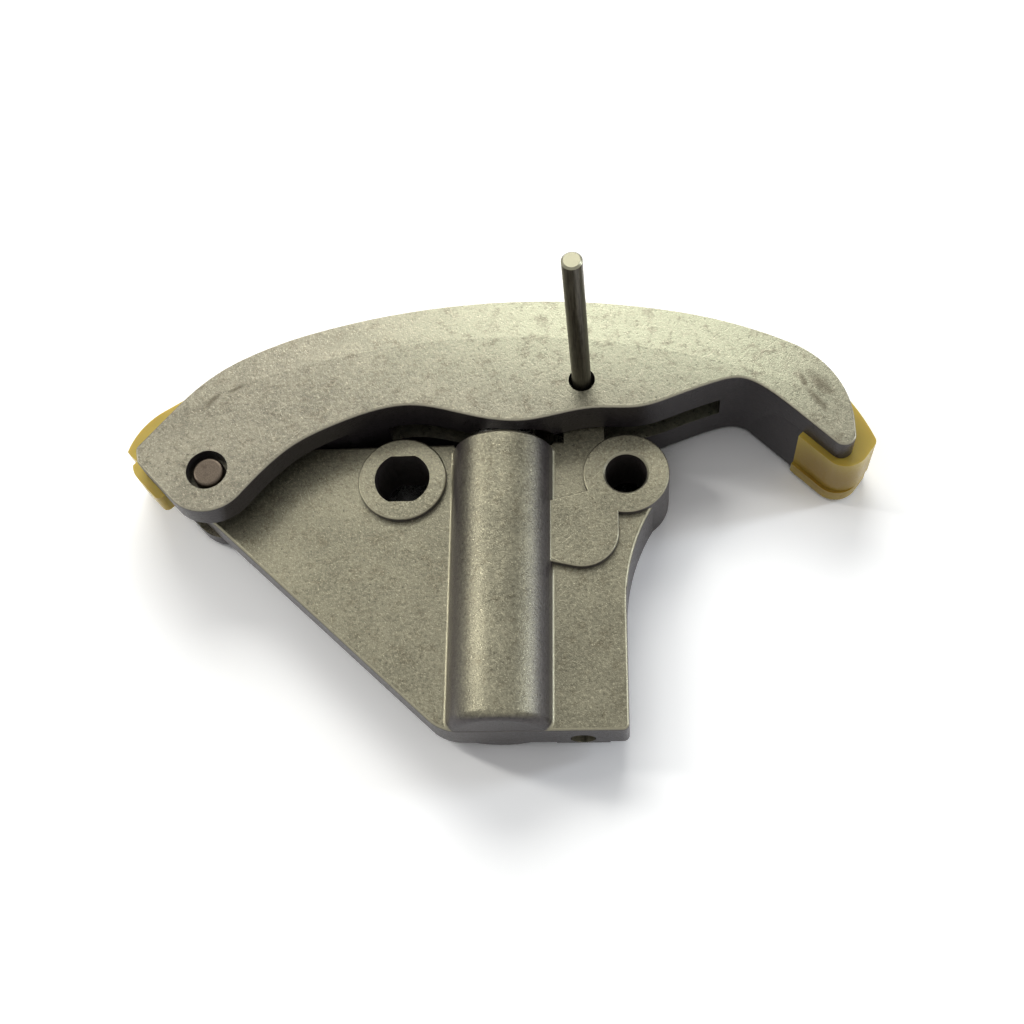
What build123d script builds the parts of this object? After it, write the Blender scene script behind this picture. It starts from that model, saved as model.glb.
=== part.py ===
from build123d import *
from math import cos, degrees, hypot, radians, sin, sqrt, tan
import os

# Oil pump chain tensioner, lying on its mounting face as it is photographed. Millimetres.
# The origin is on the axis of the round bolt hole, in the plane of the mounting face.
# +Z leaves the mounting face, +Y runs along the plunger to the chain, +X runs to the free end of the arm.

# Housing plate
plate_front_z = 10.0
plate_back_z = 3.6
plate_top_y = 6.3
plate_right_x = -0.4
plate_corner_r = 7.0
plate_foot_r = 1.0
plate_tail_x = -50.0
tail_heading = -42.5
waist_r = 31.5
waist_low_y = -21.5
waist_high_y = -3.4
plate_edge_r = 0.5

# Bosses and holes of the housing
boss_face_z = 11.0
boss_edge_r = 0.3
bolt_hole_d = 6.6
bolt_boss_d = 13.5
locating_x = -35.3
locating_hole_w = 8.8
locating_hole_flats = 7.9
locating_boss_d = 14.1
oil_boss_x = -7.0
oil_boss_y = -9.9
oil_boss_r = 5.7
pad_reach = 5.5
pad_slope = 13.0
pad_joint_angle = 205.0
pad_tuck = 1.0
hole_chamfer = 0.3

# Barrel
barrel_x = -19.4
barrel_z = 8.5
barrel_d = 16.0
barrel_mouth_y = 5.6
barrel_end_r = 1.5
barrel_set_back = 0.1
barrel_root_r = 0.6
barrel_foot_w = 11.0
barrel_foot_in = 4.8
barrel_foot_top_y = -2.0
mouth_chamfer = 0.6
end_wall = 3.2

# Oil passages
inlet_d = 3.6
gallery_x = -7.3
gallery_d = 3.8
gallery_z = 5.3
gallery_rib_w = 8.0
gallery_rib_back_z = 3.0
gallery_plug_depth = 2.2
feed_d = 6.0
feed_depth = 5.4
cross_feed_d = 2.2
cross_feed_up = 4.2
cross_feed_z = 6.2

# Plunger, check valve and springs
plunger_d = 10.0
plunger_wall = 1.5
plunger_crown = 4.0
plunger_guide = 34.0
plunger_foot_gap = 0.7
plunger_edge = 0.5
nose_r = 12.0
running_gap = 0.03
press_gap = 0.005
contact_gap = 0.05
rest_gap = 0.02
seat_t = 2.6
seat_hole_d = 2.0
ball_d = 3.0
cage_t = 0.5
cage_flange_d = 9.0
cage_cup_d = 4.5
cage_window_w = 1.4
spring_wire = 0.9
spring_d = 6.6
spring_turns = 12
light_wire = 0.25
light_spring_d = 2.2
light_spring_turns = 3
light_spring_h = 1.6

# Arm pivot
pivot_x = -65.1
pivot_y = -0.4
pivot_pin_d = 5.0
pivot_mouth_d = 6.6
pivot_mouth_depth = 3.2
pivot_pin_recess = 0.65
pivot_pin_round = 0.55
lug_r = 4.75
lug_tangent = 97.0
cheek_gap = 0.2

# Arm, back to front
arm_back_z = 0.7
rear_cheek_t = 2.7
web_slot_back_z = 6.0
web_slot_front_z = 10.4
flange_back_z = 12.4
arm_front_z = 17.0
arm_edge_r = 0.35

# Crown of the arm, drawn both ways from its highest point
crown_x = -17.4
crown_y = 28.3
crown_r = 118.0
left_crown_run = 33.36
left_shoulder_r = 60.0
left_shoulder_turn = 11.0
left_haunch_r = 30.0
left_end_turn = 50.7
left_corner_r = 1.2
left_facet_cut = 1.31
left_facet_slope = 78.4
left_edge_slope = 46.7
round_end_r = 7.1
round_end_turn = 98.7
right_crown_run = 26.77
right_shoulder_r = 70.0
right_shoulder_turn = 15.0
right_haunch_r = 16.0
tip_y = 2.5
tip_r = 1.8
tip_slope = 45.6
tip_run = 7.2
tip_draft = 0.7
tip_draft_run = 11.0
ridge_x = -20.9
ridge_drop = 6.7
ridge_r = 114.4
ridge_fall = 0.3

# Lower edge of the arm, from its neck beside the pivot to the run into the tip
neck = (-53.0, 2.4)
neck_slope = 41.0
underside = [(-45.0, 7.0), (-33.5, 9.9), (-24.5, 7.9), (-15.5, 6.6)]
underside += [(-5.0, 8.4), (2.5, 8.4), (8.0, 10.1), (14.9, 12.5)]

# Fork, plunger pocket and web slot inside the arm
fork_gap = 0.6
fork_end = (-44.0, 7.8)
fork_side = 170.0
fork_out = 200.0
contact_y = 14.0
pocket_gap = 0.5
pocket_swing = 3.0
web_slot_left_x = -38.0
web_slot_right_x = 15.2
web_slot_top_y = 17.8
web_slot_corner_r = 2.0

# Lock pin through the arm, and the tongue of the housing that it holds
lock_x = -6.55
lock_y = 13.4
lock_pin_d = 3.0
lock_pin_back_z = 1.3
lock_pin_front_z = 49.8
lock_pin_edge = 0.3
lock_front_hole_d = 4.15
lock_fit_gap = 0.05
tongue_w = 6.4
tongue_over = 3.4
tongue_back_z = 6.2
notch_gap = 0.45

# Slide shoe on the crown
shoe_step = 1.3
shoe_gap = 0.05
shoe_side_gap = 0.1
shoe_proud = 1.5
shoe_left_turn = 16.0
shoe_left_run = 10.0
shoe_left_r = 12.0
shoe_left_end_turn = 43.8
shoe_notch_in = (-78.35, 3.7)
hook_proud = 1.4
hook_short = 4.0
hook_run = 5.6
hook_back_z = 7.7
hook_start = 12.1
hook_corner_r = 1.0
clip_inside = 8.0
hook_r = 4.0
hook_turn = 36.0
nose_r_end = 34.0
nose_end_turn = 53.8
nose_corner_r = 1.2
nose_side_heading = -127.0
nose_side_run = 2.6
clip_r = 3.7
clip_run = 6.0
lip_t = 2.5
lip_out = 0.5

# Worked out from the sizes above
left_crown_turn = degrees(left_crown_run / crown_r)
right_crown_turn = degrees(right_crown_run / crown_r)
left_haunch_turn = left_end_turn - left_crown_turn - left_shoulder_turn
barrel_r = barrel_d / 2
bore_d = plunger_d + 2 * running_gap
plunger_low_y = barrel_mouth_y - plunger_guide
seat_top_y = plunger_low_y - plunger_foot_gap - cage_t
bore_floor_y = seat_top_y - seat_t
feed_floor_y = bore_floor_y - feed_depth
plate_bottom_y = feed_floor_y - end_wall
cross_feed_y = feed_floor_y + cross_feed_up
barrel_foot_low_y = plate_bottom_y + barrel_foot_in
ball_y = seat_top_y + sqrt(ball_d**2 - seat_hole_d**2) / 2 + rest_gap
cage_roof_y = ball_y + ball_d / 2 + light_spring_h
plunger_top_y = contact_y - contact_gap
plunger_roof_y = plunger_top_y - plunger_crown
fork_back_z = arm_back_z + rear_cheek_t
lug_top_z = flange_back_z - cheek_gap
edge_heading = -left_edge_slope
edge_normal = edge_heading - 90
facet_heading = -left_facet_slope
tip_heading = 180 - tip_slope
tip_normal = tip_heading + 90


def around(x, y, radius, angle):
    """A point at a distance and an angle from another."""
    return (x + radius * cos(radians(angle)), y + radius * sin(radians(angle)))


def meet(p, p_heading, q, q_heading):
    """Where the line through p crosses the line through q."""
    px, py = cos(radians(p_heading)), sin(radians(p_heading))
    qx, qy = cos(radians(q_heading)), sin(radians(q_heading))
    reach = ((q[0] - p[0]) * qy - (q[1] - p[1]) * qx) / (px * qy - py * qx)
    return (p[0] + reach * px, p[1] + reach * py)


def along(p, q, heading):
    """How far q lies past p along a heading."""
    return (q[0] - p[0]) * cos(radians(heading)) + (q[1] - p[1]) * sin(radians(heading))


def after(point, heading, steps):
    """End and heading of a run of steps: (length, 0) goes straight, (radius, turn) follows an arc."""
    x, y = point
    for size, turn in steps:
        if turn == 0:
            x, y = around(x, y, size, heading)
        else:
            side = 90 if turn > 0 else -90
            cx, cy = around(x, y, size, heading + side)
            heading += turn
            x, y = around(cx, cy, size, heading - side)
    return (x, y), heading


def draw(point, heading, steps):
    """Draws a run of steps into the open line and returns its end."""
    for size, turn in steps:
        end, turned = after(point, heading, [(size, turn)])
        if turn == 0:
            Line(point, end)
        else:
            JernArc(start=point, tangent=around(0, 0, 1, heading), radius=size, arc_size=turn)
        point, heading = end, turned
    return point


def rounded(start, start_heading, goal, goal_heading, radius):
    """Steps along one line, round its corner with another, and on to the goal on that one."""
    corner = meet(start, start_heading, goal, goal_heading)
    turn = (goal_heading - start_heading + 180) % 360 - 180
    cut = radius * tan(radians(abs(turn) / 2))
    to_corner = hypot(corner[0] - start[0], corner[1] - start[1]) - cut
    to_goal = hypot(goal[0] - corner[0], goal[1] - corner[1]) - cut
    return [(to_corner, 0), (radius, turn), (to_goal, 0)]


def left_arcs(grow):
    """From the crown's top down to the left haunch."""
    steps = [(crown_r + grow, left_crown_turn)]
    steps += [(left_shoulder_r + grow, left_shoulder_turn)]
    return steps + [(left_haunch_r + grow, left_haunch_turn)]


def facet_middle():
    """Middle of the short facet that cuts the corner between the left haunch and the straight edge."""
    haunch, heading = after((crown_x, crown_y), 180, left_arcs(0))
    foot = around(pivot_x, pivot_y, round_end_r, edge_normal)
    corner = meet(haunch, heading, foot, edge_heading)
    upper = around(*corner, left_facet_cut, heading + 180)
    lower = meet(upper, facet_heading, foot, edge_heading)
    return ((upper[0] + lower[0]) / 2, (upper[1] + lower[1]) / 2)


def left_steps(grow):
    """From the crown's top round the left end to the foot of the straight edge."""
    steps = left_arcs(grow)
    start, heading = after((crown_x, crown_y + grow), 180, steps)
    facet = around(*facet_middle(), grow, facet_heading - 90)
    foot = around(pivot_x, pivot_y, round_end_r + grow, edge_normal)
    corner_r = max(left_corner_r + grow, arm_edge_r)
    steps += rounded(start, heading, facet, facet_heading, corner_r)
    return steps + rounded(facet, facet_heading, foot, edge_heading, corner_r)


def right_steps(grow):
    """From the crown's top round the right tip to the start of its slanted lower run."""
    haunch_turn = 90 - right_crown_turn - right_shoulder_turn
    steps = [(crown_r + grow, -right_crown_turn)]
    steps += [(right_shoulder_r + grow, -right_shoulder_turn)]
    steps += [(right_haunch_r + grow, -haunch_turn)]
    side = after((crown_x, crown_y + grow), 0, steps)[0]
    return steps + [(side[1] - tip_y, 0), (tip_r + grow, tip_heading - 270)]


def right_foot(grow):
    """Start of the slanted lower run at the right tip."""
    return after((crown_x, crown_y + grow), 0, right_steps(grow))[0]


def arm_outline(grow):
    """Outline of the arm. A grow below 0 draws the core, which is stepped in where the shoe sits."""
    run_end = around(*right_foot(0), tip_run, tip_heading)
    draw((crown_x, crown_y + grow), 180, left_steps(grow) + [(round_end_r + grow, round_end_turn)])
    round_end = around(pivot_x, pivot_y, round_end_r + grow, edge_normal + round_end_turn)
    round_way = around(0, 0, 1, edge_heading + round_end_turn)
    neck_way = around(0, 0, 1, neck_slope)
    Spline([round_end, neck], tangents=[round_way, neck_way])
    Spline([neck, *underside, run_end], tangents=[neck_way, around(0, 0, 1, -tip_slope)])
    foot = draw((crown_x, crown_y + grow), 0, right_steps(grow))
    if grow < 0:
        inner = around(*foot, clip_run + shoe_gap, tip_heading)
        Polyline(foot, inner, around(*inner, -grow, tip_normal), run_end)
    else:
        Line(foot, run_end)


def seat_outline(grow):
    """The part of the core's outline that the shoe wraps, closed through the inside of the arm."""
    draw((crown_x, crown_y + grow), 180, left_steps(grow))
    foot = draw((crown_x, crown_y + grow), 0, right_steps(grow))
    past_clip = around(*foot, clip_run + tip_run, tip_heading)
    edge_foot = around(pivot_x, pivot_y, round_end_r + grow, edge_normal)
    Polyline(foot, past_clip, (crown_x, plate_top_y), (pivot_x, pivot_y), edge_foot)


def shoe_outline():
    """Outer outline of the shoe, closed through the inside of the arm."""
    top = (crown_x, crown_y + shoe_proud)
    left = [(crown_r + shoe_proud, left_crown_turn), (left_shoulder_r + shoe_proud, shoe_left_turn)]
    left += [(shoe_left_run, 0), (shoe_left_r, shoe_left_end_turn)]
    lobe_end = draw(top, 180, left)
    hook_foot = around(pivot_x, pivot_y, round_end_r + hook_proud - hook_corner_r, edge_normal)
    hook_end = around(*hook_foot, hook_short, edge_heading + 180)
    hook = [(hook_corner_r, -90), (hook_run - hook_corner_r, 0), (hook_r, -hook_turn)]
    hook_top = draw(hook_end, edge_normal, hook)
    Polyline(lobe_end, shoe_notch_in, hook_top)
    turned = -left_crown_turn - nose_end_turn
    right = [(crown_r + shoe_proud, -left_crown_turn), (nose_r_end, -nose_end_turn)]
    right += [(nose_corner_r, nose_side_heading - turned), (nose_side_run, 0)]
    right += [(clip_r, tip_heading - 360 - nose_side_heading)]
    clip_start = after(top, 0, right)[0]
    clip_length = along(clip_start, right_foot(shoe_gap - shoe_step), tip_heading) + clip_run
    clip_end = draw(top, 0, right + [(clip_length, 0)])
    clip_inner = around(*clip_end, clip_inside, tip_normal + 180)
    hook_inner = around(*hook_end, 2 * shoe_step + hook_proud, edge_normal + 180)
    slot_corner = (web_slot_right_x, web_slot_top_y)
    Polyline(clip_end, clip_inner, slot_corner, (pivot_x, fork_end[1]), hook_inner, hook_end)


def on_plunger(y):
    """Plane across the plunger at a height along it, facing its nose."""
    return Plane(origin=(barrel_x, y, barrel_z), x_dir=(-1, 0, 0), z_dir=(0, 1, 0))


# Housing: plate, bosses, barrel and tongue are one casting
lug_top = around(pivot_x, pivot_y, lug_r, lug_tangent)
tail_foot = around(pivot_x, pivot_y, lug_r, tail_heading - 90)
low_corner = meet(tail_foot, tail_heading, (0, plate_bottom_y), 0)
right_corner = (plate_right_x, plate_bottom_y)
waist_x = plate_right_x + waist_r
waist_high_x = waist_x - sqrt(waist_r**2 - (waist_high_y - waist_low_y) ** 2)
waist_low = (plate_right_x, waist_low_y)
waist_high = (waist_high_x, waist_high_y)
tongue_lean = (pivot_y - lock_y) / (lock_x - pivot_x) * tongue_over
tongue_top_y = lock_y + tongue_over
tongue_left = lock_x - tongue_w / 2
tongue_right = lock_x + tongue_w / 2
notch_r = lock_pin_d / 2 + notch_gap
pad_left = barrel_x + barrel_r - pad_tuck
pad_top = oil_boss_y + pad_reach
pad_joint = around(0, 0, bolt_boss_d / 2, pad_joint_angle)
pad_side = (oil_boss_x + oil_boss_r, oil_boss_y)
pad_throat = (pad_side[0], -sqrt((bolt_boss_d / 2) ** 2 - pad_side[0] ** 2))
pad_low = around(oil_boss_x, oil_boss_y, oil_boss_r, -90 - pad_slope)
pad_corner = meet(pad_low, 180 - pad_slope, (pad_left, 0), 90)
notch_lean = 2 * tongue_lean
notch_top_y = lock_y + 2 * tongue_over
cross_start = (gallery_x, cross_feed_y, cross_feed_z)
with BuildPart() as barrel:
    with BuildSketch(on_plunger(plate_bottom_y + barrel_set_back)):
        Circle(barrel_r)
    extrude(amount=barrel_mouth_y - plate_bottom_y - barrel_set_back)
    fillet(barrel.edges().group_by(Axis.Y)[0], barrel_end_r)
    chamfer(barrel.edges().group_by(Axis.Y)[-1], mouth_chamfer)

with BuildPart() as housing:
    with BuildSketch(Plane.XY.offset(plate_back_z)):
        with BuildLine():
            Line((0, plate_top_y), (plate_tail_x, plate_top_y))
            Line((plate_tail_x, plate_top_y), lug_top)
            RadiusArc(lug_top, tail_foot, -lug_r)
            FilletPolyline(tail_foot, low_corner, (barrel_x, plate_bottom_y), radius=plate_corner_r)
            FilletPolyline((barrel_x, plate_bottom_y), right_corner, waist_low, radius=plate_foot_r)
            RadiusArc(waist_low, waist_high, waist_r)
            Polyline(waist_high, (0, 0), (0, plate_top_y))
        make_face()
    extrude(amount=plate_front_z - plate_back_z)
    fillet(housing.faces().sort_by(Axis.Z)[-1].edges(), plate_edge_r)
    with BuildSketch(Plane.XY):
        Circle(bolt_boss_d / 2)
        with Locations((locating_x, 0)):
            Circle(locating_boss_d / 2)
        with Locations((oil_boss_x, oil_boss_y)):
            Circle(oil_boss_r)
    extrude(amount=boss_face_z)
    with BuildSketch(Plane.XY.offset(plate_back_z)):
        with Locations((pivot_x, pivot_y)):
            Circle(lug_r)
    extrude(amount=lug_top_z - plate_back_z)
    with BuildSketch(Plane.XY.offset(plate_back_z)):
        with BuildLine():
            Polyline((pad_left, pad_top), pad_joint, pad_throat, pad_side, (oil_boss_x, oil_boss_y), pad_low,
                     pad_corner, (pad_left, pad_top))
        make_face()
    extrude(amount=boss_face_z - plate_back_z)
    with BuildSketch(Plane.XY.offset(gallery_rib_back_z)):
        with Locations((gallery_x, (plate_bottom_y + oil_boss_y) / 2)):
            Rectangle(gallery_rib_w, oil_boss_y - plate_bottom_y)
    extrude(amount=gallery_z - gallery_rib_back_z)
    with BuildSketch(Plane.XY):
        with BuildLine():
            RadiusArc(waist_low, waist_high, waist_r)
            Polyline(waist_high, (0, 0), (oil_boss_x, oil_boss_y), waist_low)
        make_face()
    extrude(amount=plate_back_z)
    with BuildSketch(Plane.XY):
        with Locations((barrel_x, (barrel_foot_low_y + barrel_foot_top_y) / 2)):
            Rectangle(barrel_foot_w, barrel_foot_top_y - barrel_foot_low_y)
    extrude(amount=barrel_z)
    add(barrel.part)
    fillet(housing.faces().filter_by_position(Axis.Z, boss_face_z, boss_face_z).edges(), boss_edge_r)
    root_edges = housing.edges().filter_by(Axis.Y).filter_by_position(Axis.Z, plate_front_z, plate_front_z)
    fillet(root_edges.filter_by_position(Axis.X, barrel_x - barrel_r, barrel_x + barrel_r), barrel_root_r)
    with BuildSketch(Plane.XY.offset(tongue_back_z)):
        with BuildLine():
            Polyline((tongue_left, 0), (tongue_left, lock_y), (tongue_left + tongue_lean, tongue_top_y),
                     (tongue_right + tongue_lean, tongue_top_y), (tongue_right, lock_y), (tongue_right, 0),
                     (tongue_left, 0))
        make_face()
    extrude(amount=plate_front_z - tongue_back_z)
    with BuildSketch(Plane.XY):
        with Locations((lock_x, lock_y)):
            Circle(notch_r)
        with BuildLine():
            Polyline((lock_x - notch_r, lock_y), (lock_x - notch_r + notch_lean, notch_top_y),
                     (lock_x + notch_r + notch_lean, notch_top_y), (lock_x + notch_r, lock_y),
                     (lock_x - notch_r, lock_y))
        make_face()
    extrude(amount=boss_face_z, mode=Mode.SUBTRACT)
    with BuildSketch(Plane.XY):
        Circle(bolt_hole_d / 2)
    extrude(amount=boss_face_z, mode=Mode.SUBTRACT)
    rims = housing.edges().filter_by(GeomType.CIRCLE).filter_by_position(Axis.Z, boss_face_z, boss_face_z)
    chamfer(rims.filter_by(lambda edge: edge.radius < bolt_hole_d / 2 + rest_gap), hole_chamfer)
    with BuildSketch(Plane.XY):
        with Locations((locating_x, 0)):
            Circle(locating_hole_w / 2)
            Rectangle(locating_hole_w, locating_hole_flats, mode=Mode.INTERSECT)
    extrude(amount=boss_face_z, mode=Mode.SUBTRACT)
    with BuildSketch(Plane.XY):
        with Locations((pivot_x, pivot_y)):
            Circle(pivot_pin_d / 2 + running_gap)
    extrude(amount=lug_top_z, mode=Mode.SUBTRACT)
    with BuildSketch(on_plunger(barrel_mouth_y)):
        Circle(barrel_r)
    extrude(amount=boss_face_z, mode=Mode.SUBTRACT)
    with BuildSketch(on_plunger(bore_floor_y)):
        Circle(bore_d / 2)
    extrude(amount=barrel_mouth_y - bore_floor_y, mode=Mode.SUBTRACT)
    with BuildSketch(on_plunger(feed_floor_y)):
        Circle(feed_d / 2)
    extrude(amount=feed_depth, mode=Mode.SUBTRACT)
    with BuildSketch(Plane.XY):
        with Locations((gallery_x, oil_boss_y)):
            Circle(inlet_d / 2)
    extrude(amount=gallery_z + gallery_d / 2, mode=Mode.SUBTRACT)
    with BuildSketch(Plane(origin=(gallery_x, plate_bottom_y, gallery_z), x_dir=(-1, 0, 0), z_dir=(0, 1, 0))):
        Circle(gallery_d / 2)
    extrude(amount=oil_boss_y - plate_bottom_y, mode=Mode.SUBTRACT)
    with BuildSketch(Plane(origin=cross_start, x_dir=(0, 1, 0), z_dir=(-1, 0, 0))):
        Circle(cross_feed_d / 2)
    extrude(amount=gallery_x - barrel_x, mode=Mode.SUBTRACT)
housing.part.label = "housing"

# Arm: core with its fork, the flange in front of it, then the hollows
fork_r = lug_r + fork_gap
fork_top = around(pivot_x, pivot_y, fork_r, lug_tangent)
fork_left = around(pivot_x, pivot_y, fork_r, fork_side)
fork_open = around(*fork_left, 2 * round_end_r, fork_out)
fork_low_y = pivot_y - 2 * round_end_r
ridge_y = crown_y - ridge_drop - ridge_r
pocket_mid_x = barrel_x + pocket_swing / 2
past_clip = around(*right_foot(-shoe_step), clip_run + shoe_gap, tip_heading)
draft_start = Plane(origin=around(*past_clip, shoe_step, tip_normal), x_dir=around(0, 0, 1, tip_normal),
                    z_dir=around(0, 0, 1, tip_heading))
with BuildPart() as tensioner_arm:
    with BuildSketch(Plane.XY.offset(arm_back_z)):
        with BuildLine():
            arm_outline(-shoe_step)
        make_face()
    extrude(amount=flange_back_z - arm_back_z)
    with BuildSketch(Plane.XY.offset(fork_back_z)):
        with BuildLine():
            CenterArc((pivot_x, pivot_y), fork_r, lug_tangent, fork_side - lug_tangent)
            Polyline(fork_left, fork_open, (fork_open[0], fork_low_y), (fork_end[0], fork_low_y), fork_end,
                     (plate_tail_x, plate_top_y + fork_gap), fork_top)
        make_face()
    extrude(amount=flange_back_z - fork_back_z, mode=Mode.SUBTRACT)
    with BuildSketch(Plane.XY.offset(flange_back_z)):
        with BuildLine():
            arm_outline(0)
        make_face()
    extrude(amount=arm_front_z - flange_back_z)
    fillet(tensioner_arm.edges().group_by(Axis.Z)[-1], arm_edge_r)
    with BuildSketch(Plane.XZ.offset(-ridge_y)):
        Polygon((ridge_x + ridge_r, arm_front_z), (ridge_x + ridge_r + 2 * ridge_drop, arm_front_z),
                (ridge_x + ridge_r + 2 * ridge_drop, arm_front_z - 2 * ridge_fall), align=None)
    revolve(axis=Axis((ridge_x, ridge_y, 0), (0, 0, 1)), mode=Mode.SUBTRACT)
    with BuildSketch(draft_start):
        Polygon((0, flange_back_z), (0, arm_back_z), (tip_draft, arm_back_z), align=None)
    extrude(amount=tip_draft_run)
    with BuildSketch(Plane.XZ):
        with Locations((pocket_mid_x, barrel_z)):
            SlotCenterToCenter(pocket_swing, plunger_d + 2 * pocket_gap)
    extrude(amount=-contact_y, mode=Mode.SUBTRACT)
    with BuildSketch(Plane.XY.offset(web_slot_back_z)) as web_slot:
        with Locations(((web_slot_left_x + web_slot_right_x) / 2, web_slot_top_y / 2)):
            Rectangle(web_slot_right_x - web_slot_left_x, web_slot_top_y)
        fillet(web_slot.vertices().group_by(Axis.Y)[-1], web_slot_corner_r)
    extrude(amount=web_slot_front_z - web_slot_back_z, mode=Mode.SUBTRACT)
    with BuildSketch(Plane.XY):
        with Locations((pivot_x, pivot_y)):
            Circle(pivot_pin_d / 2 + press_gap)
        with Locations((lock_x, lock_y)):
            Circle(lock_pin_d / 2 + lock_fit_gap)
    extrude(amount=arm_front_z, mode=Mode.SUBTRACT)
    with BuildSketch(Plane.XY.offset(arm_front_z - pivot_mouth_depth)):
        with Locations((pivot_x, pivot_y)):
            Circle(pivot_mouth_d / 2)
    extrude(amount=pivot_mouth_depth, mode=Mode.SUBTRACT)
    with BuildSketch(Plane.XY.offset(web_slot_front_z)):
        with Locations((lock_x, lock_y)):
            Circle(lock_front_hole_d / 2)
    extrude(amount=arm_front_z - web_slot_front_z, mode=Mode.SUBTRACT)
tensioner_arm.part.label = "tensioner_arm"

# Slide shoe, wrapped round the core behind the flange. Its left hook is narrower than the rest.
hook_root = around(*around(pivot_x, pivot_y, lug_r, edge_normal), hook_start, edge_heading + 180)
hook_cut_low = around(*hook_root, hook_start, edge_heading)
shoe_back_z = arm_back_z + shoe_side_gap
lip_place = around(0, 0, lip_out, tip_normal)
with BuildPart() as slide_shoe:
    with BuildSketch(Plane.XY.offset(shoe_back_z + lip_t)):
        with BuildLine():
            shoe_outline()
        make_face()
    extrude(amount=flange_back_z - shoe_side_gap - shoe_back_z - lip_t)
    with BuildSketch(Plane(origin=(*lip_place, shoe_back_z))):
        with BuildLine():
            shoe_outline()
        make_face()
    extrude(amount=lip_t)
    with BuildSketch(Plane.XY.offset(arm_back_z)):
        with BuildLine():
            seat_outline(shoe_gap - shoe_step)
        make_face()
    extrude(amount=flange_back_z - arm_back_z, mode=Mode.SUBTRACT)
    with BuildSketch(Plane.XY):
        Polygon(hook_root, hook_cut_low, around(*hook_cut_low, lug_r, edge_normal),
                around(*hook_root, lug_r, edge_normal), align=None)
    extrude(amount=hook_back_z, mode=Mode.SUBTRACT)
slide_shoe.part.label = "slide_shoe"

# Pivot pin, pressed into both cheeks of the arm
pivot_pin_top_z = arm_front_z - pivot_pin_recess
with BuildPart() as pivot_pin:
    with BuildSketch(Plane.XY.offset(arm_back_z)):
        with Locations((pivot_x, pivot_y)):
            Circle(pivot_pin_d / 2)
    extrude(amount=pivot_pin_top_z - arm_back_z)
    fillet(pivot_pin.edges().group_by(Axis.Z)[-1], pivot_pin_round)
    chamfer(pivot_pin.edges().group_by(Axis.Z)[0], lock_pin_edge)
pivot_pin.part.label = "pivot_pin"

# Lock pin, pushed in from the front
with BuildPart() as lock_pin:
    with BuildSketch(Plane.XY.offset(lock_pin_back_z)):
        with Locations((lock_x, lock_y)):
            Circle(lock_pin_d / 2)
    extrude(amount=lock_pin_front_z - lock_pin_back_z)
    chamfer(lock_pin.edges().group_by(Axis.Z)[-1], lock_pin_edge)
    chamfer(lock_pin.edges().group_by(Axis.Z)[0], lock_pin_edge)
lock_pin.part.label = "lock_pin"

# Hollow plunger with a domed nose
plunger_axis = Axis((barrel_x, 0, barrel_z), (0, 1, 0))
nose_rim_r = plunger_d / 2 - plunger_edge
nose_rim_y = plunger_top_y - nose_r + sqrt(nose_r**2 - nose_rim_r**2)
plunger_bore_r = plunger_d / 2 - plunger_wall
with BuildPart() as plunger:
    with BuildSketch(Plane(origin=(barrel_x, 0, barrel_z))):
        with BuildLine():
            RadiusArc((0, plunger_top_y), (nose_rim_r, nose_rim_y), nose_r)
            Polyline((nose_rim_r, nose_rim_y), (plunger_d / 2, nose_rim_y - plunger_edge),
                     (plunger_d / 2, plunger_low_y + plunger_edge), (nose_rim_r, plunger_low_y),
                     (plunger_bore_r, plunger_low_y), (plunger_bore_r, plunger_roof_y), (0, plunger_roof_y),
                     (0, plunger_top_y))
        make_face()
    revolve(axis=plunger_axis)
plunger.part.label = "plunger"

# Check valve at the foot of the bore
with BuildPart() as valve_seat:
    with BuildSketch(on_plunger(bore_floor_y)):
        Circle(bore_d / 2 - press_gap)
        Circle(seat_hole_d / 2, mode=Mode.SUBTRACT)
    extrude(amount=seat_t)
valve_seat.part.label = "valve_seat"

with BuildPart() as check_ball:
    with Locations((barrel_x, ball_y, barrel_z)):
        Sphere(ball_d / 2)
check_ball.part.label = "check_ball"

cup_r = cage_cup_d / 2
cup_mid_y = (seat_top_y + cage_t + cage_roof_y) / 2
with BuildPart() as ball_cage:
    with BuildSketch(on_plunger(seat_top_y)):
        Circle(cage_flange_d / 2)
    extrude(amount=cage_t)
    with BuildSketch(on_plunger(seat_top_y)):
        Circle(cup_r)
    extrude(amount=cage_roof_y + cage_t - seat_top_y)
    with BuildSketch(on_plunger(seat_top_y)):
        Circle(cup_r - cage_t)
    extrude(amount=cage_roof_y - seat_top_y, mode=Mode.SUBTRACT)
    with Locations((barrel_x, cup_mid_y, barrel_z)):
        Box(2 * cage_cup_d, cage_window_w, cage_window_w, mode=Mode.SUBTRACT)
        Box(cage_window_w, cage_window_w, 2 * cage_cup_d, mode=Mode.SUBTRACT)
ball_cage.part.label = "ball_cage"

# Springs
light_r = (light_spring_d - light_wire) / 2
light_low_y = ball_y + sqrt((ball_d / 2 + light_wire / 2 + rest_gap) ** 2 - light_r**2)
light_height = cage_roof_y - light_wire / 2 - rest_gap - light_low_y
with BuildPart() as ball_spring:
    with BuildLine() as light_line:
        Helix(pitch=light_height / light_spring_turns, height=light_height, radius=light_r,
              center=(barrel_x, light_low_y, barrel_z), direction=(0, 1, 0))
    with BuildSketch(light_line.line ^ 0):
        Circle(light_wire / 2)
    sweep(path=light_line.line)
ball_spring.part.label = "ball_spring"

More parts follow.
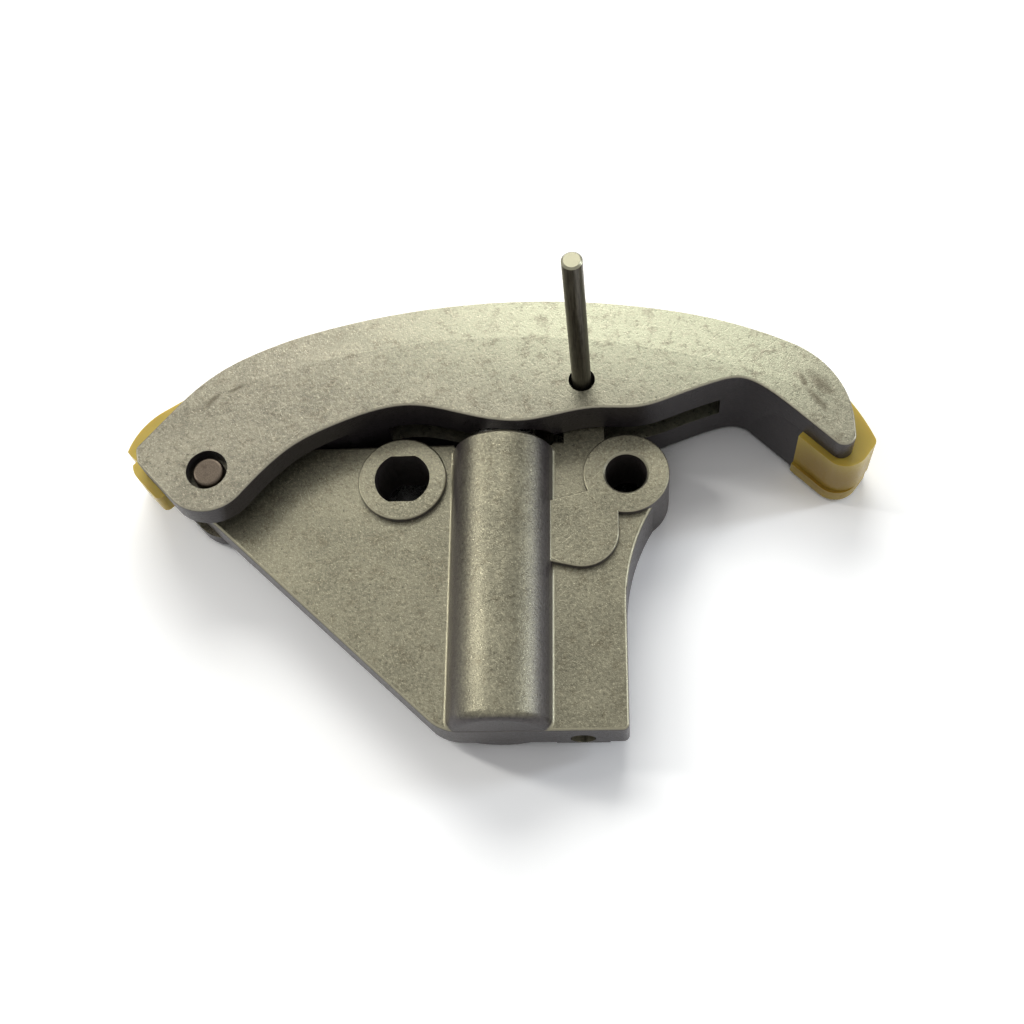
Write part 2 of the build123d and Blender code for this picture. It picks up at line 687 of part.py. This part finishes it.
spring_low_y = seat_top_y + cage_t + spring_wire / 2 + rest_gap
spring_height = plunger_roof_y - spring_wire / 2 - rest_gap - spring_low_y
with BuildPart() as plunger_spring:
    with BuildLine() as spring_line:
        Helix(pitch=spring_height / spring_turns, height=spring_height, radius=(spring_d - spring_wire) / 2,
              center=(barrel_x, spring_low_y, barrel_z), direction=(0, 1, 0))
    with BuildSketch(spring_line.line ^ 0):
        Circle(spring_wire / 2)
    sweep(path=spring_line.line)
plunger_spring.part.label = "plunger_spring"

# Ball that closes the drilled gallery
with BuildPart() as gallery_ball:
    with Locations((gallery_x, plate_bottom_y + gallery_plug_depth + gallery_d / 2, gallery_z)):
        Sphere(gallery_d / 2 - press_gap)
gallery_ball.part.label = "gallery_ball"

os.makedirs("parts", exist_ok=True)
export_step(housing.part, "parts/housing.step")
export_step(tensioner_arm.part, "parts/tensioner_arm.step")
export_step(slide_shoe.part, "parts/slide_shoe.step")
export_step(pivot_pin.part, "parts/pivot_pin.step")
export_step(lock_pin.part, "parts/lock_pin.step")
export_step(plunger.part, "parts/plunger.step")
export_step(plunger_spring.part, "parts/plunger_spring.step")
export_step(valve_seat.part, "parts/valve_seat.step")
export_step(check_ball.part, "parts/check_ball.step")
export_step(ball_spring.part, "parts/ball_spring.step")
export_step(ball_cage.part, "parts/ball_cage.step")
export_step(gallery_ball.part, "parts/gallery_ball.step")
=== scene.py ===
import bpy
from mathutils import Matrix, Vector


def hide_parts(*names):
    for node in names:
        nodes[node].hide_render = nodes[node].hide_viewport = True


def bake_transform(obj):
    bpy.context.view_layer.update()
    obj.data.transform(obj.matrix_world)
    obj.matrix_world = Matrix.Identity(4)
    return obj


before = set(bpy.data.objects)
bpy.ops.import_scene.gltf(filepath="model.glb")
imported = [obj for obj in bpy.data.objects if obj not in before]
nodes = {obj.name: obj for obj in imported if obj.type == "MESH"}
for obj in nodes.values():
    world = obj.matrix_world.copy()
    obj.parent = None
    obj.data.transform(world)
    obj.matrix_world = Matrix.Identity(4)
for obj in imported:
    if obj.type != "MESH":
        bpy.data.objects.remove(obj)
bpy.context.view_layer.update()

# The scene is in metres. Lengths with no other unit in their comment are in millimetres.
MM = 0.001
PER_MM = 1000.0

# Camera of the photograph: its eye, its axes in the part's frame, and its lens
CAMERA_EYE = (0.370, -94.907, 208.4)
CAMERA_RIGHT = (0.99617, 0.01090, -0.08674)
CAMERA_UP = (0.02550, 0.91284, 0.40752)
CAMERA_BACK = (0.08362, -0.40817, 0.90907)
CAMERA_NEAREST = 10.0
FOCAL_PIXELS = 1400.0
PHOTO_PIXELS = 1024.0
SENSOR_WIDTH = 36.0

# Lamps: direction from the part, distance and size in metres, power in watts
LAMPS_AIM = (-20.0, 0.0, 10.0)
LAMPS = {
    "window": dict(
        way=(-0.07, 0.74, 0.66), distance=0.65, size=(0.46, 0.30), watts=2.6, colour=(1.0, 1.0, 0.97)
    ),
    "left_window": dict(
        way=(-0.73, 0.27, 0.64), distance=0.60, size=(0.06, 0.30), watts=1.1, colour=(1.0, 0.99, 0.95)
    ),
    "right_window": dict(
        way=(0.93, 0.20, 0.30), distance=0.60, size=(0.07, 0.30), watts=1.2, colour=(0.84, 0.91, 1.0)
    ),
}
AMBIENT = 0.36
WHITE = (1.0, 1.0, 1.0, 1.0)

# Floor: it lies a hair under the part, is painted black as shade only deep in holes, and turns into plain
# white far out.
FLOOR_SIZE = 6000.0
FLOOR_DROP = 0.02
FLOOR_COLOUR = (0.85, 0.85, 0.85)
FLOOR_SEEN = (1.25, 1.25, 1.25)
# Painted shade: the floor's colour deep in holes
FLOOR_SHADE_IN_HOLES = (0.0, 0.0, 0.0)
HOLE_REACH = 30.0
HOLE_OPEN_SKY = 0.12
FREE_OPEN_SKY = 0.40
OPEN_SKY_SAMPLES = 8
FADE_START = 90.0
FADE_END = 280.0

# Places on the part that the finish, the painted sheen on the arm and the painted shade in the amber
# follow. A pair goes from the least effect to the full one.
RIDGE_CENTRE = (-20.9, -92.8)
RIDGE_R = 114.4
GLOW_INSIDE_RIDGE = 14.0
GLOW_OUTSIDE_RIDGE = 3.0
GLOW_LEFT = (-58.0, -2.0)
GLOW_RIGHT = (38.0, 18.0)
ARM_TIP = (32.0, 3.0, 6.0)
# Reach of the painted shade in the amber, from the arm's tip
AMBER_SHADE_REACH = (9.5, 3.0)
BOSS_FACE_Z = 11.0
ARM_FACE_Z = 17.0

# Colours
HOUSING_FACE = (0.164, 0.153, 0.106)
# Painted shade: the dark colour of housing walls that look down or sideways
HOUSING_WALL_SHADE = (0.055, 0.047, 0.046)
ARM_FACE = (0.163, 0.151, 0.112)
# Painted shade: the dark colour of arm walls that look down or sideways
ARM_WALL_SHADE = (0.034, 0.029, 0.031)
# Painted sheen that lightens the arm's face near its crown
CROWN_SHEEN_COLOUR = (0.275, 0.281, 0.198)
STAIN_COLOUR = (0.075, 0.064, 0.042)
DIRT_TINT = (0.60, 0.55, 0.50)
AMBER_DARK = (0.47, 0.345, 0.055)
AMBER_LIGHT = (0.52, 0.39, 0.070)
# Painted shade in the amber round the arm's tip
AMBER_SHADE = (0.19, 0.095, 0.004)
PIN_COLOUR = (0.11, 0.10, 0.082)
# Painted light in part: the lighter colour of the lock pin's cut face that looks to the front
PIN_FRONT_LIT_COLOUR = (0.25, 0.24, 0.17)
PIVOT_COLOUR = (0.085, 0.068, 0.052)
PLUNGER_COLOUR = (0.5, 0.48, 0.44)
WIRE_COLOUR = (0.3, 0.3, 0.31)
PRESSED_COLOUR = (0.45, 0.45, 0.45)
BALL_COLOUR = (0.6, 0.6, 0.62)

# How much finer a pattern is along each axis
EVEN = (1.0, 1.0, 1.0)
STREAKS_ALONG_Z = (1.0, 1.0, 0.04)
RINGS_ROUND_Y = (0.3, 2.0, 0.3)
SCRATCH_SHAPE = (0.16, 4.0, 0.4)
FLECK_SHAPE = (0.7, 1.5, 1.0)

# Angles in radians
SCRATCH_TURNS = (0.5, 1.25, 2.4)
FLECK_TURN = 0.9

# A mark's edge: how much a pattern frays it, and where it goes from nothing to the mark's strength
STAIN_FRAY = 3.0
STAIN_EDGE = (3.1, 1.7)
STAIN_STRENGTH = 0.8

# Marks on the arm's face: centre, half sizes, and turn in radians
ARM_STAINS = (
    ((29.3, 8.8), (2.3, 0.55), -0.95),
    ((27.4, 12.4), (1.2, 0.5), -1.25),
    ((30.0, 11.5), (2.4, 1.1), -0.9),
    ((-65.6, 11.6), (1.9, 0.4), 0.9),
    ((-61.6, 13.9), (1.4, 0.35), 0.55),
    ((21.4, 25.4), (0.8, 0.4), 0.3),
)


def new_tree(name):
    """A material with an empty node tree, and that tree."""
    material = bpy.data.materials.new(name)
    material.use_nodes = True
    tree = material.node_tree
    tree.nodes.clear()
    return material, tree


def add(tree, kind, inputs=None, **settings):
    """Adds a shader node: settings are its properties, inputs are values or sockets."""
    made = tree.nodes.new(kind)
    for key, value in settings.items():
        setattr(made, key, value)
    for key, value in (inputs or {}).items():
        socket = made.inputs[key]
        if isinstance(value, bpy.types.NodeSocket):
            tree.links.new(value, socket)
        else:
            socket.default_value = value
    return made


def calc(tree, operation, a, b=0.0):
    """A Math node's result."""
    return add(tree, "ShaderNodeMath", {0: a, 1: b}, operation=operation).outputs[0]


def times(tree, a, b):
    """The product of two values."""
    return calc(tree, "MULTIPLY", a, b)


def ramp(tree, value, low, high, out_low=0.0, out_high=1.0):
    """Maps a stretch of values onto another, smoothly and clamped."""
    inputs = {"Value": value, "From Min": low, "From Max": high, "To Min": out_low, "To Max": out_high}
    return add(tree, "ShaderNodeMapRange", inputs, interpolation_type="SMOOTHSTEP").outputs[0]


def mix(tree, factor, a, b):
    """Mixes two colours."""
    made = tree.nodes.new("ShaderNodeMix")
    made.data_type = "RGBA"
    for socket, value in zip((made.inputs[0], made.inputs[6], made.inputs[7]), (factor, a, b)):
        if isinstance(value, bpy.types.NodeSocket):
            tree.links.new(value, socket)
        else:
            socket.default_value = (*value, 1.0)
    return made.outputs[2]


def layer(tree, tone, pattern, start, full, share, colour):
    """Lays a colour over a tone, from nothing where the pattern is at start to its share at full."""
    return mix(tree, ramp(tree, pattern, start, full, out_high=share), tone, colour)


def tint(colour, gain):
    """A colour made lighter or darker."""
    return tuple(min(1.0, channel * gain) for channel in colour)


def metres(lengths):
    """Lengths or a point in metres, from millimetres."""
    return tuple(length * MM for length in lengths)


def object_point(tree):
    """Object coordinates in metres."""
    return add(tree, "ShaderNodeTexCoord").outputs["Object"]


def pattern_point(tree, shape=EVEN, turn=0.0):
    """Object coordinates in millimetres, turned about Z and stretched."""
    inputs = {"Vector": object_point(tree), "Rotation": (0.0, 0.0, turn)}
    turned = add(tree, "ShaderNodeMapping", inputs).outputs[0]
    scale = tuple(PER_MM * s for s in shape)
    return add(tree, "ShaderNodeMapping", {"Vector": turned, "Scale": scale}).outputs[0]


def noise(tree, vector, per_mm, detail=2.0, rough=0.5):
    """Noise round 0.5, with so many waves in a millimetre."""
    inputs = {"Vector": vector, "Scale": per_mm, "Detail": detail, "Roughness": rough}
    return add(tree, "ShaderNodeTexNoise", inputs).outputs[0]


def surface_normal(tree):
    """The surface's normal."""
    return add(tree, "ShaderNodeNewGeometry").outputs["Normal"]


def axis_of(tree, vector, axis):
    """One component of a vector."""
    return add(tree, "ShaderNodeSeparateXYZ", {0: vector}).outputs[axis]


def length_of(tree, vector):
    """A vector's length."""
    return add(tree, "ShaderNodeVectorMath", {0: vector}, operation="LENGTH").outputs["Value"]


def relief(tree, height, strength, depth):
    """A normal with fine relief."""
    inputs = {"Strength": strength, "Distance": depth * MM, "Height": height}
    return add(tree, "ShaderNodeBump", inputs).outputs[0]


def principled(tree, inputs):
    """A Principled shader that is the material's surface."""
    shader = add(tree, "ShaderNodeBsdfPrincipled", inputs)
    add(tree, "ShaderNodeOutputMaterial", {"Surface": shader.outputs[0]})


def scratches(tree):
    """Fine straight marks in three directions, in patches."""
    total = None
    for turn in SCRATCH_TURNS:
        lines = noise(tree, pattern_point(tree, SCRATCH_SHAPE, turn), per_mm=1.0, detail=1.0)
        marks = ramp(tree, lines, 0.71, 0.77)
        total = marks if total is None else calc(tree, "MAXIMUM", total, marks)
    patches = ramp(tree, noise(tree, pattern_point(tree), per_mm=0.14, detail=1.0), 0.42, 0.62)
    return times(tree, total, patches)


def worn_and_highlit_rim(tree, height, normal, top_z):
    """1 on the rounded edges below top_z that look down or sideways, bright there partly from tumbled wear
    and partly as a painted highlight.
    """
    edge = times(tree, ramp(tree, height, 0.25, 0.55), ramp(tree, height, 0.992, 0.93))
    edge = times(tree, edge, ramp(tree, axis_of(tree, normal, "Y"), 0.35, -0.1))
    z = axis_of(tree, object_point(tree), "Z")
    return times(tree, edge, ramp(tree, z, (top_z + 0.5) * MM, (top_z + 0.1) * MM))


def stain(tree, centre, half_size, turn, ragged):
    """A soft oval mark on the front face. ragged is the pattern that frays its edge."""
    inputs = {
        "Vector": object_point(tree),
        "Location": (centre[0] * MM, centre[1] * MM, 0.0),
        "Rotation": (0.0, 0.0, turn),
        "Scale": (half_size[0] * MM, half_size[1] * MM, 1.0),
    }
    local = add(tree, "ShaderNodeMapping", inputs, vector_type="TEXTURE").outputs[0]
    edge = calc(tree, "ADD", length_of(tree, local), times(tree, ragged, STAIN_FRAY))
    return ramp(tree, edge, *STAIN_EDGE, out_high=STAIN_STRENGTH)


def painted_crown_sheen(tree):
    """Painted sheen: the arm's face is brighter towards the crown and in the middle of its length."""
    point = object_point(tree)
    x = axis_of(tree, point, "X")
    y = axis_of(tree, point, "Y")
    dx = calc(tree, "SUBTRACT", x, RIDGE_CENTRE[0] * MM)
    dy = calc(tree, "SUBTRACT", y, RIDGE_CENTRE[1] * MM)
    reach = calc(tree, "SQRT", calc(tree, "ADD", times(tree, dx, dx), times(tree, dy, dy)))
    band_start = (RIDGE_R - GLOW_INSIDE_RIDGE) * MM
    band_end = (RIDGE_R + GLOW_OUTSIDE_RIDGE) * MM
    band = ramp(tree, reach, band_start, band_end, out_low=0.2)
    from_left = ramp(tree, x, *metres(GLOW_LEFT))
    from_right = ramp(tree, x, *metres(GLOW_RIGHT), out_low=0.3)
    return times(tree, band, times(tree, from_left, from_right))


def cast_face(tree, face, blotch, speckle, grain, marks, painted_sheen, stains):
    """Colour of a casting's faces: mottled, dirty in patches, pitted, worn to bright dots and lines, and
    lightened by an optional painted sheen.
    """
    mottle = noise(tree, pattern_point(tree), per_mm=0.12, detail=4.0, rough=0.65)
    flecks = noise(tree, pattern_point(tree, FLECK_SHAPE, FLECK_TURN), per_mm=3.0, rough=0.6)
    tone = mix(tree, ramp(tree, mottle, 0.30, 0.70), tint(face, 0.82), tint(face, 1.14))
    # Painted sheen laid over the face
    if painted_sheen:
        tone = mix(tree, painted_sheen(tree), tone, CROWN_SHEEN_COLOUR)
    dirt = tuple(channel * gain for channel, gain in zip(face, DIRT_TINT))
    tone = layer(tree, tone, blotch, start=0.50, full=0.68, share=0.6, colour=dirt)
    tone = layer(tree, tone, speckle, start=0.48, full=0.32, share=0.55, colour=tint(face, 0.40))
    tone = layer(tree, tone, speckle, start=0.50, full=0.64, share=0.45, colour=tint(face, 1.8))
    tone = layer(tree, tone, grain, start=0.52, full=0.70, share=0.45, colour=tint(face, 1.9))
    tone = layer(tree, tone, flecks, start=0.60, full=0.70, share=0.7, colour=tint(face, 2.4))
    tone = mix(tree, times(tree, marks, 0.6), tone, tint(face, 2.1))
    for centre, half_size, turn in stains:
        tone = mix(tree, stain(tree, centre, half_size, turn, blotch), tone, STAIN_COLOUR)
    return tone


def cast_metal(name, face, wall_shade, top_z, painted_sheen=None, stains=()):
    """Tumbled die casting: speckled faces, rims with wear and a painted highlight, and walls darkened as
    painted shade. The optional sheen paints light on the face in places.
    """
    material, tree = new_tree(name)
    normal = surface_normal(tree)
    height = axis_of(tree, normal, "Z")
    # Painted shade: walls turned away from up and from the back take the dark wall colour; walls looking
    # back keep part of the face colour
    lit_back_wall = ramp(tree, axis_of(tree, normal, "Y"), 0.0, 0.6, out_high=0.7)
    lit_facing = calc(tree, "MAXIMUM", ramp(tree, height, 0.50, 0.95), lit_back_wall)
    point = pattern_point(tree)
    blotch = noise(tree, point, per_mm=0.55, detail=4.0, rough=0.7)
    speckle = noise(tree, point, per_mm=1.9, detail=4.0, rough=0.75)
    grain = noise(tree, point, per_mm=4.5, rough=0.6)
    marks = scratches(tree)
    tone = cast_face(tree, face, blotch, speckle, grain, marks, painted_sheen, stains)
    painted_wall_shade = mix(tree, ramp(tree, speckle, 0.35, 0.65), tint(wall_shade, 0.7), tint(wall_shade, 1.3))
    colour = mix(tree, lit_facing, painted_wall_shade, tone)
    rim_wear_and_highlight = worn_and_highlit_rim(tree, height, normal, top_z)
    # Painted highlight, partly tumbled wear: rounded edges made lighter
    colour = mix(tree, times(tree, rim_wear_and_highlight, 0.65), colour, tint(face, 2.2))
    bumps = calc(tree, "ADD", speckle, times(tree, grain, 0.5))
    bumps = calc(tree, "SUBTRACT", bumps, times(tree, marks, 0.3))
    principled(tree, {
        "Base Color": colour,
        "Metallic": ramp(tree, lit_facing, 0.0, 1.0, out_low=0.3, out_high=0.75),
        "Roughness": ramp(tree, speckle, 0.3, 0.7, out_low=0.27, out_high=0.42),
        "Normal": relief(tree, bumps, strength=0.7, depth=0.07),
    })
    return material


def steel(name, colour, rough, shape=EVEN, contrast=0.25, front_lit_colour=None):
    """Ground or drawn steel with fine streaks. The last argument is the colour of a cut face that looks to
    the front, made lighter partly as painted light.
    """
    material, tree = new_tree(name)
    streaks = noise(tree, pattern_point(tree, shape), per_mm=6.0, detail=3.0, rough=0.6)
    tarnish = noise(tree, pattern_point(tree), per_mm=0.8, detail=3.0, rough=0.6)
    dark = tint(colour, 1.0 - contrast)
    light = tint(colour, 1.0 + contrast)
    tone = mix(tree, ramp(tree, streaks, 0.3, 0.7), dark, light)
    tone = layer(tree, tone, tarnish, start=0.5, full=0.75, share=0.5, colour=tint(colour, 0.5))
    # Painted light in part: faces that look to the front take the lighter colour
    if front_lit_colour:
        height = axis_of(tree, surface_normal(tree), "Z")
        tone = layer(tree, tone, height, start=0.4, full=0.8, share=1.0, colour=front_lit_colour)
    principled(tree, {
        "Base Color": tone,
        "Metallic": 1.0,
        "Roughness": ramp(tree, streaks, 0.3, 0.7, out_low=rough - 0.06, out_high=rough + 0.08),
        "Normal": relief(tree, streaks, strength=0.25, depth=0.03),
    })
    return material


def polyamide(name):
    """Amber polyamide, with painted shade that makes it browner and darker round the arm's tip."""
    material, tree = new_tree(name)
    inputs = {0: object_point(tree), 1: metres(ARM_TIP)}
    from_tip = add(tree, "ShaderNodeVectorMath", inputs, operation="SUBTRACT").outputs[0]
    cloud = noise(tree, pattern_point(tree), per_mm=0.16)
    tone = mix(tree, ramp(tree, cloud, 0.3, 0.7), AMBER_DARK, AMBER_LIGHT)
    # Painted shade near the arm's tip
    shade_near_tip = ramp(tree, length_of(tree, from_tip), *metres(AMBER_SHADE_REACH))
    tone = mix(tree, times(tree, shade_near_tip, 0.75), tone, AMBER_SHADE)
    pits = noise(tree, pattern_point(tree), per_mm=3.0, detail=3.0, rough=0.6)
    principled(tree, {
        "Base Color": tone,
        "Roughness": ramp(tree, pits, 0.3, 0.7, out_low=0.28, out_high=0.42),
        "Normal": relief(tree, pits, strength=0.15, depth=0.04),
        "IOR": 1.53,
        "Specular IOR Level": 0.3,
        "Subsurface Weight": 0.35,
        "Subsurface Radius": (1.0, 0.62, 0.22),
        "Subsurface Scale": 2.0 * MM,
    })
    return material


def paint(material, *node_names):
    """Gives CAD nodes one material."""
    for node_name in node_names:
        for slot in nodes[node_name].material_slots:
            slot.material = material


def paint_castings():
    """The housing and the arm."""
    paint(cast_metal("cast_housing", HOUSING_FACE, HOUSING_WALL_SHADE, BOSS_FACE_Z), "housing")
    cast_arm = cast_metal("cast_arm", ARM_FACE, ARM_WALL_SHADE, ARM_FACE_Z, painted_crown_sheen, ARM_STAINS)
    paint(cast_arm, "tensioner_arm")


def paint_small_pieces():
    """The shoe, the pins, the plunger and what is inside it."""
    paint(polyamide("amber_polyamide"), "slide_shoe")
    drawn = steel("drawn_pin_steel", PIN_COLOUR, 0.34, STREAKS_ALONG_Z, 0.35, PIN_FRONT_LIT_COLOUR)
    paint(drawn, "lock_pin")
    paint(steel("pivot_steel", PIVOT_COLOUR, 0.38), "pivot_pin")
    paint(steel("ground_steel", PLUNGER_COLOUR, 0.3, RINGS_ROUND_Y), "plunger")
    paint(steel("spring_wire", WIRE_COLOUR, 0.35), "plunger_spring", "ball_spring")
    paint(steel("pressed_steel", PRESSED_COLOUR, 0.4), "valve_seat", "ball_cage")
    paint(steel("ball_steel", BALL_COLOUR, 0.2, EVEN, 0.08), "check_ball", "gallery_ball")


def stretching_spring(node_name, piece_name):
    """A copy of a spring's CAD node that stands for it, placed where the node is, with the node hidden."""
    node = nodes[node_name]
    piece = bpy.data.objects.new(piece_name, node.data.copy())
    bpy.context.collection.objects.link(piece)
    piece.matrix_world = node.matrix_world.copy()
    piece.data.materials[0] = node.material_slots[0].material
    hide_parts(node_name)
    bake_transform(piece)


def seen_rays(tree):
    """1 for rays that see the background itself: from the camera, in gloss and through clear pieces."""
    path = add(tree, "ShaderNodeLightPath").outputs
    seen = calc(tree, "MAXIMUM", path["Is Camera Ray"], path["Is Glossy Ray"])
    return calc(tree, "MAXIMUM", seen, path["Is Transmission Ray"])


def floor_material():
    """Diffuse near the part and plain white far out, with painted black shade only where little open sky is
    left.
    """
    material, tree = new_tree("pale_floor")
    inputs = {"Distance": HOLE_REACH * MM}
    open_sky = add(tree, "ShaderNodeAmbientOcclusion", inputs, samples=OPEN_SKY_SAMPLES).outputs["AO"]
    # Painted shade: black where little open sky is left
    unshaded = ramp(tree, open_sky, HOLE_OPEN_SKY, FREE_OPEN_SKY)
    seen = seen_rays(tree)
    colour = mix(tree, seen, FLOOR_COLOUR, mix(tree, unshaded, FLOOR_SHADE_IN_HOLES, FLOOR_SEEN))
    pale = add(tree, "ShaderNodeBsdfDiffuse", {"Color": colour})
    white = add(tree, "ShaderNodeEmission", {"Color": WHITE, "Strength": 1.0})
    far = ramp(tree, length_of(tree, object_point(tree)), FADE_START * MM, FADE_END * MM)
    inputs = {0: times(tree, seen, far), 1: pale.outputs[0], 2: white.outputs[0]}
    both = add(tree, "ShaderNodeMixShader", inputs)
    add(tree, "ShaderNodeOutputMaterial", {"Surface": both.outputs[0]})
    return material


def make_floor():
    """Pale floor that keeps the part's shadow and looks white."""
    bpy.ops.mesh.primitive_plane_add(size=FLOOR_SIZE * MM, location=(0.0, 0.0, -FLOOR_DROP * MM))
    floor = bpy.context.object
    floor.name = "floor"
    floor.data.materials.append(floor_material())


def make_world():
    """White to the eye, softer as a light."""
    world = bpy.data.worlds.new("studio")
    world.use_nodes = True
    tree = world.node_tree
    tree.nodes.clear()
    strength = ramp(tree, seen_rays(tree), 0.0, 1.0, out_low=AMBIENT)
    background = add(tree, "ShaderNodeBackground", {"Color": WHITE, "Strength": strength})
    add(tree, "ShaderNodeOutputWorld", {"Surface": background.outputs[0]})
    bpy.context.scene.world = world


def make_lamp(name, way, distance, size, watts, colour):
    """A soft rectangular lamp that looks at the part."""
    lamp = bpy.data.lights.new(name, "AREA")
    lamp.shape = "RECTANGLE"
    lamp.size, lamp.size_y = size
    lamp.energy = watts
    lamp.color = colour
    made = bpy.data.objects.new(name, lamp)
    bpy.context.collection.objects.link(made)
    aim = Vector(metres(LAMPS_AIM))
    made.location = aim + Vector(way).normalized() * distance
    made.rotation_euler = (aim - made.location).to_track_quat("-Z", "Y").to_euler()


def make_camera():
    """Camera where the photograph was taken from."""
    data = bpy.data.cameras.new("photo_camera")
    data.sensor_width = SENSOR_WIDTH
    data.lens = FOCAL_PIXELS / PHOTO_PIXELS * SENSOR_WIDTH
    data.clip_start = CAMERA_NEAREST * MM
    made = bpy.data.objects.new("photo_camera", data)
    bpy.context.collection.objects.link(made)
    axes = Matrix((CAMERA_RIGHT, CAMERA_UP, CAMERA_BACK)).transposed()
    made.matrix_world = Matrix.Translation(metres(CAMERA_EYE)) @ axes.to_4x4()
    bpy.context.scene.camera = made


paint_castings()
paint_small_pieces()
stretching_spring("plunger_spring", "main_spring")
stretching_spring("ball_spring", "valve_spring")
make_floor()
make_world()
for lamp_name, lamp_values in LAMPS.items():
    make_lamp(lamp_name, **lamp_values)
make_camera()

bpy.context.scene.view_settings.view_transform = "Standard"
